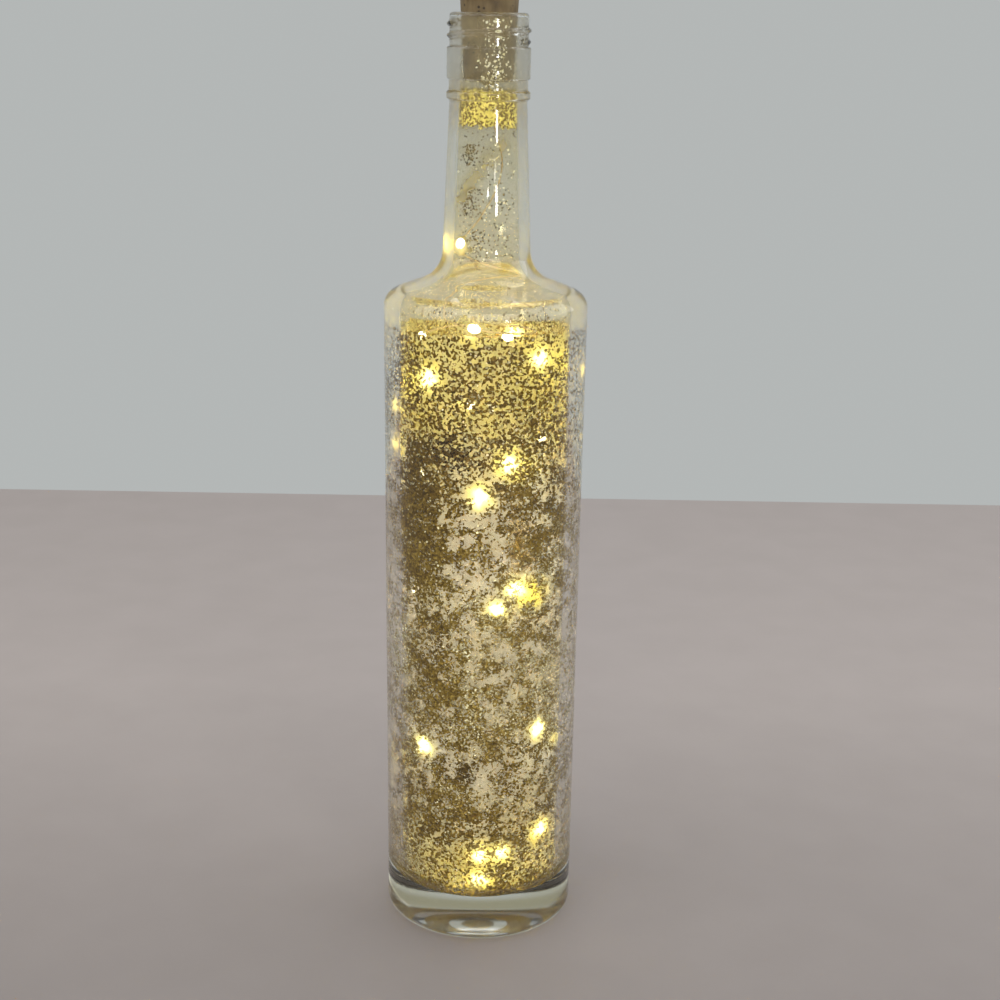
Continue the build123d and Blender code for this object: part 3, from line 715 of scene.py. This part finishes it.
# Groups of the same glitter coloured near white as painted glints.
painted_glint_groups = [
    (70, 0.247, 0.289, 285, 50),
    (80, 0.307, 0.325, 284, 26),
    (44, 0.303, 0.312, 280, 40),
    (40, 0.2266, 0.24, 270, 90),
    (16, 0.304, 0.325, 90, 90),
]
bpy.ops.object.select_all(action="DESELECT")
bpy.ops.mesh.primitive_uv_sphere_add(segments=4, ring_count=2, radius=1)
flake_pattern = bpy.context.object
bpy.ops.object.mode_set(mode="EDIT")
bpy.ops.transform.resize(value=(1, flake_stretch, 1))
bpy.ops.object.mode_set(mode="OBJECT")
flake_corners = [vertex.co.copy() for vertex in flake_pattern.data.vertices]
flake_faces = [tuple(face.vertices) for face in flake_pattern.data.polygons]
bpy.data.objects.remove(flake_pattern)
inner_line = rounded_line(inside, 0.001)


def wall_spot(low, high, share):
    """Point and inward direction, as (radius, height), on the inner wall between two heights."""
    steps = [(a, b) for a, b in zip(inner_line, inner_line[1:]) if low < (a.y + b.y) / 2 < high]
    lengths = [(b - a).length * (a.x + b.x) for a, b in steps]
    left = share * sum(lengths)
    for (start, end), length in zip(steps, lengths):
        if left <= length:
            along = (end - start).normalized()
            return start.lerp(end, left / length), Vector((along.y, -along.x))
        left -= length
    return steps[-1][1], Vector((-1, 0))


def new_object(name, data):
    """New object in the scene."""
    made = bpy.data.objects.new(name, data)
    bpy.context.scene.collection.objects.link(made)
    return made


def mesh_object(name, vertices, faces):
    """New object with a mesh of its own."""
    data = bpy.data.meshes.new(name)
    data.from_pydata(vertices, [], faces)
    return new_object(name, data)


def scatter_flakes(name, groups, widths):
    """Copies of the flake laid on the inner wall, each turned and tilted by chance."""
    vertices, faces = [], []
    for count, low, high, middle, spread in groups:
        for number in range(count):
            spot, inward = wall_spot(low, high, flake_random.random())
            swing = flake_random.uniform(-1, 1) if spread == 180 else flake_random.gauss(0, 0.5)
            angle = math.radians(middle + spread * swing)
            out = Vector((math.cos(angle), math.sin(angle), 0))
            facing = out * inward.x + Vector((0, 0, inward.y))
            place = out * spot.x + Vector((0, 0, spot.y)) + facing * flake_depth
            lean = math.radians(flake_random.uniform(0, flake_lean))
            turn = (
                facing.to_track_quat("Z", "Y").to_matrix()
                @ Matrix.Rotation(flake_random.uniform(0, math.tau), 3, "Z")
                @ Matrix.Rotation(lean, 3, "X")
            )
            wide = flake_random.triangular(*widths)
            size = Matrix.Diagonal((wide, wide, flake_thickness / 2))
            base = len(vertices)
            vertices += [place + turn @ size @ corner for corner in flake_corners]
            faces += [tuple(base + corner for corner in face) for face in flake_faces]
    return mesh_object(name, vertices, faces)


def loose_material(name, dull, bright, metallic, roughness):
    """Foil whose tone differs from flake to flake."""
    foil, place = new_look(name)
    colour = mix_colours(foil, noise_map(foil, place, 900, 0.0, 1.0, detail=0.0), dull, bright)
    finish(foil, common_shader(foil, colour, roughness, {"Metallic": metallic}))
    return foil


gold_foil = loose_material("gold_foil", (0.022, 0.013, 0.002), (0.18, 0.12, 0.02), 0.3, 0.5)
# Near-white foil: painted glints on flakes of the same gold glitter.
painted_glint_foil = loose_material("painted_glint_foil", (0.90, 0.84, 0.56), (1.0, 0.98, 0.88), 0.0, 0.6)
for name, groups, widths, foil in (
    ("loose_flakes_gold", gold_groups, (0.00016, 0.00042, 0.00025), gold_foil),
    ("loose_flakes_painted_glint", painted_glint_groups, (0.00022, 0.00062, 0.00034), painted_glint_foil),
):
    loose_flakes = scatter_flakes(name, groups, widths)
    loose_flakes.data.materials.append(foil)
    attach(loose_flakes, "bottle")

# The light string
# One lacquered copper wire of two strands twisted together. It leaves the cork's gland, drops
# through the neck and winds round inside the body, and it carries a small lamp every 100 mm.
cork_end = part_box("wire_gland")[0].z
wire_radius = 0.0004
lead_route = [
    (0, 0, cork_end),
    (0.0005, -0.0003, 0.2965),
    (0.003, -0.0019, 0.2886),
    (0.0053, 0.0006, 0.2804),
    (0.0044, 0.0047, 0.2726),
    (0.0012, 0.0064, 0.266),
]
# Each station is a number of turns from the right, a distance from the axis and a height.
stations = [
    (0.22, 0.0065, 0.266),
    (0.51, 0.009, 0.2526),
    (1.713, 0.0156, 0.2264),
    (2.506, 0.0221, 0.2212),
    (3.19, 0.0221, 0.2174),
    (3.911, 0.0225, 0.216),
    (4.59, 0.0234, 0.2088),
    (5.295, 0.0221, 0.1921),
    (6.044, 0.0221, 0.1838),
    (6.814, 0.0221, 0.1807),
    (7.519, 0.0221, 0.1718),
    (8.248, 0.0238, 0.1562),
    (8.841, 0.0251, 0.1354),
    (9.502, 0.0247, 0.1279),
    (10.21, 0.0221, 0.1128),
    (10.918, 0.0229, 0.0771),
    (11.553, 0.0238, 0.0678),
    (12.073, 0.0264, 0.023),
    (12.775, 0.0175, 0.0281),
    (13.857, 0.014, 0.0252),
    (14.74, 0.02, 0.0182),
]
points_per_turn = 24
tail_length = 0.0012


def smooth_value(values, place):
    """Value at a place between stations, on a smooth curve through all of them."""
    index = min(int(place), len(values) - 2)
    share = place - index
    here, there = values[index], values[index + 1]
    before = values[index - 1] if index > 0 else here
    after = values[index + 2] if index + 2 < len(values) else there
    leaving = (there - before) / (2 if index > 0 else 1)
    reaching = (after - here) / (2 if index + 2 < len(values) else 1)
    rise = there - here
    bend = 3 * rise - 2 * leaving - reaching
    return here + leaving * share + bend * share**2 + (leaving + reaching - 2 * rise) * share**3


def winding_point(place):
    """Point of the winding at a place counted in stations."""
    turns, radius, height = (smooth_value(list(column), place) for column in zip(*stations))
    return Vector((radius * math.cos(math.tau * turns), radius * math.sin(math.tau * turns), height))


points = [Vector(point) for point in lead_route[:-1]]
for station in range(len(stations) - 1):
    parts = round(points_per_turn * (stations[station + 1][0] - stations[station][0]))
    points += [winding_point(station + number / parts) for number in range(parts)]
points.append(winding_point(len(stations) - 1))
string_way = (points[-1] - points[-2]).normalized()
points.append(points[-1] + string_way * tail_length)
curve = bpy.data.curves.new("string_line", "CURVE")
curve.dimensions = "3D"
spline = curve.splines.new("NURBS")
spline.points.add(len(points) - 1)
for number, point in enumerate(points):
    spline.points[number].co = (*point, 1)
spline.order_u = 3
spline.use_endpoint_u = True
curve.resolution_u = 4
line = new_object("string_line", curve)
mesh = bpy.data.meshes.new_from_object(line)
string_path = [vertex.co.copy() for vertex in mesh.vertices]
bpy.data.objects.remove(line)
bpy.data.curves.remove(curve)
bpy.data.meshes.remove(mesh)


strand_radius = wire_radius / 2
strand_sides = 6
strand_turn = 0.006


def strand_mesh(path, start_angle):
    """Vertices and faces of one strand that twists round a path."""
    vertices, faces = [], []
    side = Vector((1, 0, 0))
    travelled = 0
    for number, here in enumerate(path):
        ahead = path[min(number + 1, len(path) - 1)] - path[max(number - 1, 0)]
        ahead.normalize()
        side = (side - ahead * side.dot(ahead)).normalized()
        across = ahead.cross(side)
        if number:
            travelled += (here - path[number - 1]).length
        angle = start_angle + math.tau * travelled / strand_turn
        centre = here + (side * math.cos(angle) + across * math.sin(angle)) * strand_radius
        for corner in range(strand_sides):
            around = math.tau * corner / strand_sides
            vertices.append(centre + (side * math.cos(around) + across * math.sin(around)) * strand_radius)
        if number:
            low, high = (number - 1) * strand_sides, number * strand_sides
            for corner in range(strand_sides):
                beside = (corner + 1) % strand_sides
                faces.append((low + corner, low + beside, high + beside, high + corner))
    faces.append(tuple(reversed(range(strand_sides))))
    faces.append(tuple(range(len(vertices) - strand_sides, len(vertices))))
    return vertices, faces


string_vertices, string_faces = [], []
for start_angle in (0, math.pi):
    vertices, faces = strand_mesh(string_path, start_angle)
    base = len(string_vertices)
    string_vertices += vertices
    string_faces += [tuple(base + corner for corner in face) for face in faces]
light_string = mesh_object("light_string", string_vertices, string_faces)
light_string.data.polygons.foreach_set("use_smooth", [True] * len(string_faces))
copper, copper_place = new_look("copper_wire_lacquered")
copper_tone = noise_map(copper, copper_place, 160, 0.0, 1.0)
copper_colour = mix_colours(copper, copper_tone, (0.68, 0.52, 0.32), (0.86, 0.72, 0.50))
copper_shader = common_shader(copper, copper_colour, 0.28, {"Metallic": 1.0, "Coat Weight": 0.4})
finish(copper, copper_shader)
light_string.data.materials.append(copper)
beads = [f"led_bead_{number:02d}" for number in range(1, len(stations))]
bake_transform(light_string)
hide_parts("lead_wire", "light_wire")

# The lamps
# Each lamp is a light-emitting chip soldered across the two strands, in a drop of clear resin.
# The chip's light fills the drop, so the whole drop shines a warm lemon white.


def dress(look, *nodes):
    """Gives modelled nodes, whose shape stays, their finish."""
    for node in nodes:
        bpy.data.objects[node].material_slots[0].material = look


lamp, lamp_place = new_look("lamp_resin_lit")
lamp_swirl = noise_map(lamp, lamp_place, 500, 78.0, 96.0)
lamp_light = {"IOR": 1.5, "Emission Color": (1.0, 0.91, 0.62), "Emission Strength": lamp_swirl}
finish(lamp, common_shader(lamp, (0.95, 0.88, 0.66), 0.12, lamp_light))
dress(lamp, *beads)

# The cork
# A moulded plastic plug with a wider grip, coloured and grained like cork. It is hollow, open at
# the top for the cells, and a fine parting line runs round it where the lid meets the shell.


def stretched(look, place, scale):
    """The place, with each way scaled."""
    return node_value(look, "Mapping", {"Vector": place, "Scale": scale})


cork, cork_place = new_look("cork_grain_plastic")
cork_streak = node_value(
    cork,
    "TexNoise",
    {"Vector": stretched(cork, cork_place, (1.0, 1.0, 0.22)), "Scale": 330, "Detail": 4, "Roughness": 0.6},
)
cork_tone = add_share(cork, cork_streak, noise_map(cork, cork_place, 110, 0.0, 1.0), 0.35)
cork_browns = [(0.40, (0.076, 0.05, 0.023)), (0.64, (0.137, 0.093, 0.04)), (0.88, (0.205, 0.144, 0.065))]
cork_cells = add_node(cork, "TexVoronoi", {"Vector": cork_place, "Scale": 620}).outputs
cork_pick = node_value(cork, "SeparateColor", {"Color": cork_cells["Color"]})
cork_pit = maths(cork, "MULTIPLY", maths(cork, "SUBTRACT", cork_pick, 0.55, clamp=True), 0.9)
cork_pit = maths(cork, "SUBTRACT", cork_pit, cork_cells["Distance"])
cork_pit = maths(cork, "MULTIPLY", cork_pit, 9.0, clamp=True)
cork_bump = bump_normal(cork, add_share(cork, cork_streak, cork_pit, -0.7), 0.35, 0.0002)
cork_shader = common_shader(
    cork,
    mix_colours(cork, cork_pit, colour_ramp(cork, cork_tone, cork_browns), (0.04, 0.024, 0.012)),
    noise_map(cork, cork_place, 240, 0.50, 0.72, detail=3),
    {"Normal": cork_bump},
)
finish(cork, cork_shader)
dress(cork, "cork_shell", "cork_lid")

# The gland and the sleeve
# A drop of clear potting resin seals the wire in the plug's end. The cells stand in a thin tube of
# pale rolled paper that keeps them off the contact strip.
gland, gland_place = new_look("potting_resin")
gland_swirl = noise_map(gland, gland_place, 700, 0.12, 0.35, detail=3)
gland_clear = {"IOR": 1.5, "Transmission Weight": 0.6}
finish(gland, common_shader(gland, (0.85, 0.83, 0.74), gland_swirl, gland_clear))
dress(gland, "wire_gland")
paper, paper_place = new_look("rolled_paper")
paper_fibre = noise_map(paper, stretched(paper, paper_place, (1.0, 1.0, 3.0)), 500, 0.0, 1.0, detail=5)
paper_colour = mix_colours(paper, paper_fibre, (0.54, 0.49, 0.37), (0.68, 0.64, 0.52))
paper_bump = bump_normal(paper, paper_fibre, 0.25, 0.0001)
finish(paper, common_shader(paper, paper_colour, 0.85, {"Normal": paper_bump}))
dress(paper, "cell_sleeve")

# The cells, the spring, the screws and the contacts
# Three button cells in polished steel cans stand on a steel spring. Brass contacts, pressed and cut
# from sheet, join them to the board: a disc under the spring, a strip up the side and a dome on top.


def metal_look(name, dull, bright, low_rough, high_rough, scale, stretch, *nodes):
    """Dresses nodes in metal with fine scratches along one way and a light tarnish in clouds."""
    metal, place = new_look(name)
    scratch = noise_map(metal, stretched(metal, place, stretch), scale, 0.0, 1.0, detail=5)
    colour = mix_colours(metal, noise_map(metal, place, 260, 0.0, 1.0, detail=3), dull, bright)
    rough = map_range(metal, scratch, 0.0, 1.0, low_rough, high_rough)
    bump = bump_normal(metal, scratch, 0.12, 0.00005)
    finish(metal, common_shader(metal, colour, rough, {"Metallic": 1.0, "Normal": bump}))
    dress(metal, *nodes)


cans = ("button_cell_1", "button_cell_2", "button_cell_3")
plated = ("contact_spring", "lid_screws")
sheets = ("upper_contact", "lower_contact", "contact_strip")
along, even, across = (1.0, 1.0, 0.15), (1.0, 1.0, 1.0), (1.0, 0.3, 0.3)
metal_look("cell_can_steel", (0.56, 0.56, 0.55), (0.74, 0.74, 0.73), 0.16, 0.34, 900, along, *cans)
metal_look("plated_steel", (0.48, 0.48, 0.49), (0.64, 0.64, 0.64), 0.22, 0.42, 1200, even, *plated)
metal_look("sheet_brass", (0.52, 0.37, 0.14), (0.80, 0.62, 0.29), 0.24, 0.45, 800, across, *sheets)

# The board
# A small round board of green glass laminate hangs from the switch. One black chip resistor with
# tinned ends is soldered beside the switch.
board, board_place = new_look("green_laminate")
board_bricks = {"Vector": board_place, "Scale": 900, "Mortar Size": 0.03}
board_weave = add_node(board, "TexBrick", board_bricks).outputs["Fac"]
board_mask = noise_map(board, board_place, 300, 0.0, 1.0, detail=3)
board_colour = mix_colours(board, board_mask, (0.016, 0.085, 0.028), (0.03, 0.14, 0.05))
board_coat = {"Coat Weight": 0.5, "Normal": bump_normal(board, board_weave, 0.15, 0.00005)}
finish(board, common_shader(board, board_colour, 0.32, board_coat))
dress(board, "circuit_board")
resistor, resistor_place = new_look("chip_resistor")
resistor_low, resistor_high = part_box("current_resistor")
resistor_half = (resistor_high.x - resistor_low.x) / 2
resistor_side = node_value(resistor, "SeparateXYZ", {"Vector": resistor_place})
resistor_side = maths(resistor, "ABSOLUTE", resistor_side)
resistor_end = maths(resistor, "GREATER_THAN", resistor_side, resistor_half * 0.68)
black_rough = noise_map(resistor, resistor_place, 4000, 0.3, 0.5)
tinned_rough = noise_map(resistor, resistor_place, 3000, 0.25, 0.5)
black_part = common_shader(resistor, (0.018, 0.018, 0.02), black_rough)
tinned_part = common_shader(resistor, (0.66, 0.66, 0.66), tinned_rough, {"Metallic": 1.0})
finish(resistor, mix_shaders(resistor, resistor_end, black_part, tinned_part))
dress(resistor, "current_resistor")

# The switch and its button
# A latching push switch moulded in black plastic, and the satin black cap that is pressed through
# the middle of the lid. The mould's fine spark texture shows on both.


def moulded_look(name, dark, light, low_rough, high_rough, node):
    """Dresses a node in black plastic with the mould's fine grain and faint handling marks."""
    plastic, place = new_look(name)
    marks = noise_map(plastic, place, 420, 0.0, 1.0, detail=4)
    rough = map_range(plastic, marks, 0.0, 1.0, low_rough, high_rough)
    grain = bump_normal(plastic, noise_value(plastic, place, 6000, 2), 0.25, 0.00004)
    colour = mix_colours(plastic, marks, dark, light)
    finish(plastic, common_shader(plastic, colour, rough, {"Normal": grain}))
    dress(plastic, node)


moulded_look("switch_black", (0.01, 0.01, 0.012), (0.02, 0.02, 0.022), 0.42, 0.58, "switch_body")
moulded_look("button_black", (0.012, 0.011, 0.01), (0.028, 0.026, 0.023), 0.34, 0.52, "switch_button")

# The stage
# A plain pale table, darkened towards the front by painted shade, that turns into the wall's cooler
# grey far behind the bottle, soft lamps over it, and the camera where the photograph was taken from.
bpy.ops.object.select_all(action="DESELECT")
table_back = 0.579
table_size = 6
bpy.ops.mesh.primitive_plane_add(size=table_size, location=(0, table_back - table_size / 2, 0))
table = bpy.context.object
bpy.ops.object.transform_apply(location=True, rotation=False, scale=False)
table.name = "table_top"
paint, paint_place = new_look("table_paint")
paint_tone = noise_map(paint, paint_place, 30, 0.0, 1.0, detail=5)
paint_depth = add_node(paint, "SeparateXYZ", {"Vector": paint_place}).outputs["Y"]
# Painted shade: the table darkens towards the front.
painted_front_shade = map_range(paint, paint_depth, -0.14, 0.22, 0.60, 1.0)
paint_colour = mix_colours(paint, paint_tone, (0.394, 0.347, 0.327), (0.408, 0.36, 0.34))
paint_colour = vectors(paint, "MULTIPLY", paint_colour, painted_front_shade)
finish(paint, common_shader(paint, paint_colour, 0.7))
table.data.materials.append(paint)

world = bpy.data.worlds.new("soft_room")
bpy.context.scene.world = world
world.use_nodes = True
world.node_tree.nodes.clear()
room_light = node_value(world, "Background", {"Color": (0.94, 0.97, 1.0), "Strength": 0.50})
wall_colour = node_value(world, "Background", {"Color": (0.455, 0.475, 0.47)})
wall_rays = add_node(world, "LightPath").outputs
seen = wall_rays["Is Camera Ray"]
for other in ("Is Glossy Ray", "Is Transmission Ray"):
    seen = maths(world, "MAXIMUM", seen, wall_rays[other])
room = mix_shaders(world, seen, room_light, wall_colour)
add_node(world, "OutputWorld", {"Surface": room})

# Soft rectangular lamps: each one's place, the height on the axis it points at, its width and
# height, its power and its colour.
for name, place, aim, width, height, power, colour in (
    ("lamp_left", (-0.9, -0.5, 1.0), 0.16, 1.3, 1.3, 6.5, (1.0, 0.97, 0.93)),
    ("lamp_right", (1.0, 0.1, 0.9), 0.16, 1.1, 1.1, 4, (0.95, 0.98, 1.0)),
    ("lamp_top", (0.1, 0.5, 1.5), 0.1, 0.9, 0.9, 4, (1.0, 1.0, 1.0)),
    ("lamp_front", (0.2, -1.3, 0.9), 0.16, 1.5, 1.0, 9, (1.0, 0.99, 0.97)),
    ("window_low", (0.44, -0.90, 0.25), 0.268, 0.10, 0.022, 0.22, (1.0, 1.0, 1.0)),
    ("window_high", (0.44, -0.90, 0.314), 0.29, 0.10, 0.026, 0.24, (1.0, 1.0, 1.0)),
    ("window_far", (0.05, -1.00, 0.254), 0.268, 0.06, 0.012, 0.06, (1.0, 1.0, 1.0)),
):
    lamp_data = bpy.data.lights.new(name, "AREA")
    lamp_data.shape = "RECTANGLE"
    lamp_data.size, lamp_data.size_y = width, height
    lamp_data.energy, lamp_data.color = power, colour
    soft_lamp = new_object(name, lamp_data)
    soft_lamp.location = place
    way = Vector((0, 0, aim)) - Vector(place)
    soft_lamp.rotation_euler = way.to_track_quat("-Z", "Y").to_euler()

camera_data = bpy.data.cameras.new("photo_camera")
camera_data.sensor_width = 36
camera_data.lens = 59.7
camera_data.shift_y = 0.116
camera_data.clip_start = 0.01
camera = new_object("photo_camera", camera_data)
camera.location = (0.0067, -0.577, 0.325)
camera_turn = Matrix.Rotation(math.radians(90 - 19.8), 4, "X") @ Matrix.Rotation(math.radians(0.94), 4, "Z")
camera.rotation_euler = camera_turn.to_euler()
bpy.context.scene.camera = camera
bpy.context.scene.view_settings.view_transform = "Standard"
